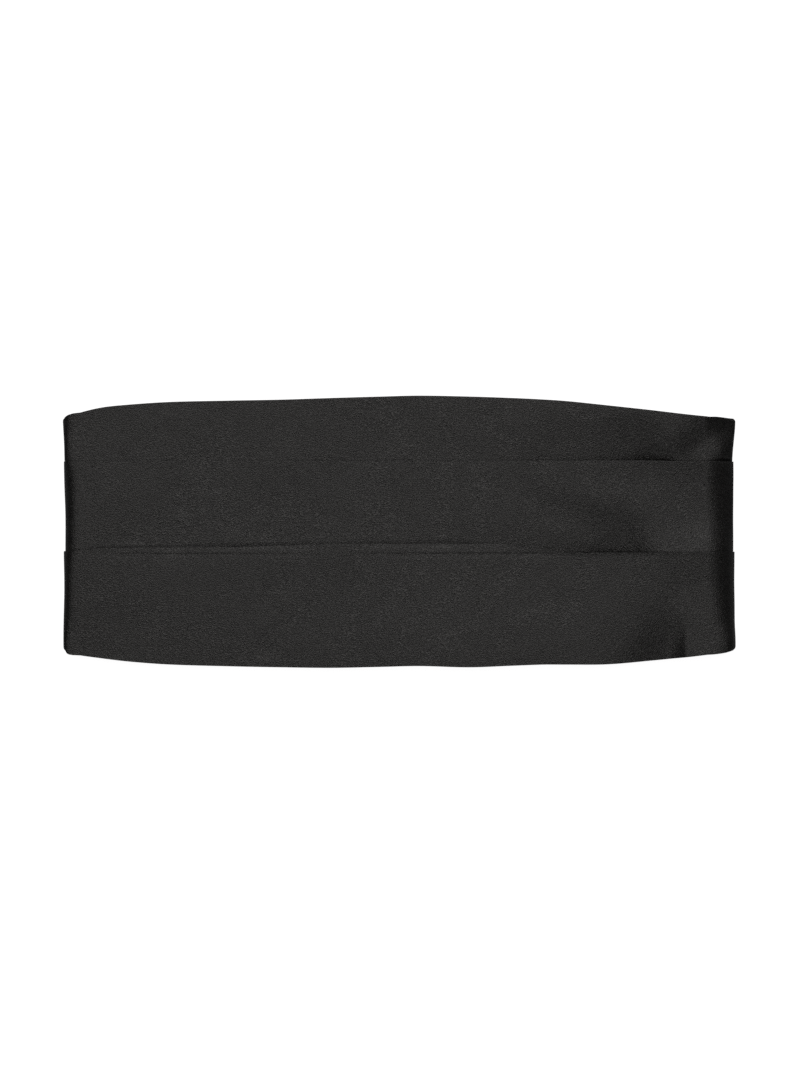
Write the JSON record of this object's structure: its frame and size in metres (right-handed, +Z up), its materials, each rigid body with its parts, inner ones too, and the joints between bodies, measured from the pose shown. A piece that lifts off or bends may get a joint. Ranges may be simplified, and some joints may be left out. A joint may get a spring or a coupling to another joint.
{
  "type": "cummerbund",
  "caption": "Pleated satin cummerbund fastened into a loop and laid flat, narrowing behind to end tabs, short straps and a plain clasp.",
  "frame": {"origin": "centre of the flat loop's underside, on the surface it lies on", "axes": "+X to the right along the front, +Y towards the top edge, +Z up out of the front face"},
  "size_m": [0.335, 0.1354, 0.0167],
  "materials": {
    "satin": "black satin with a soft sheen and a fine even grain",
    "strap_weave": "matte black ribbed strap weave",
    "clasp_metal": "plain satin nickel plate"
  },
  "bodies": {
    "root": {"body_panel": "satin", "middle_pleat": "satin", "lower_pleat": "satin", "left_end_tab": "satin", "right_end_tab": "satin", "left_strap": "strap_weave", "right_strap": "strap_weave", "clasp": "clasp_metal"}
  },
  "joints": []
}
